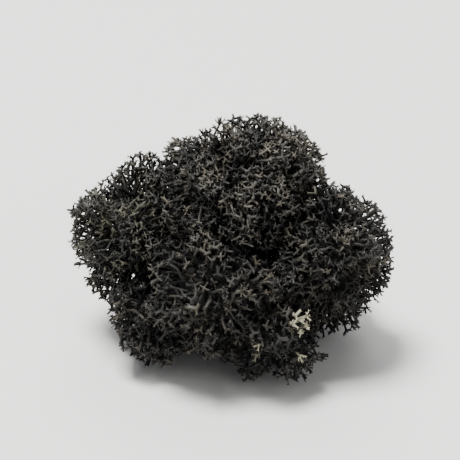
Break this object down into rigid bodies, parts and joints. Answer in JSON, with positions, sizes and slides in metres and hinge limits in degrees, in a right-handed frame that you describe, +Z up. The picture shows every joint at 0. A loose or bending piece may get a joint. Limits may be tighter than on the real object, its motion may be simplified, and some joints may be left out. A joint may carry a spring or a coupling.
{
  "type": "reindeer moss clump",
  "caption": "Rounded cushion of black-dyed reindeer moss: domed heads of densely forked, star-tipped branchlets, resting on the foot of its stems, for lining pots, baskets and scenery.",
  "frame": {"origin": "centre of the flat spot under the stems, on the surface that the clump rests on", "axes": "+Z up, +X to the right and -Y to the front, the side that the picture shows"},
  "size_m": [0.0626, 0.0564, 0.0468],
  "materials": {
    "dyed_lichen": "matt, dry, charcoal-dyed lichen",
    "dyed_lichen_olive": "matt, dry, charcoal-dyed lichen that took less dye",
    "dyed_lichen_shaded": "matt, dry, charcoal-dyed lichen, the darkest"
  },
  "bodies": {
    "root": {"head_crown": "dyed_lichen", "head_right": "dyed_lichen", "head_left": "dyed_lichen_olive", "head_front": "dyed_lichen", "head_rear": "dyed_lichen_shaded", "head_low_front": "dyed_lichen_shaded", "head_low_left": "dyed_lichen_shaded", "head_low_right": "dyed_lichen_shaded", "head_low_rear": "dyed_lichen_shaded"}
  },
  "joints": []
}
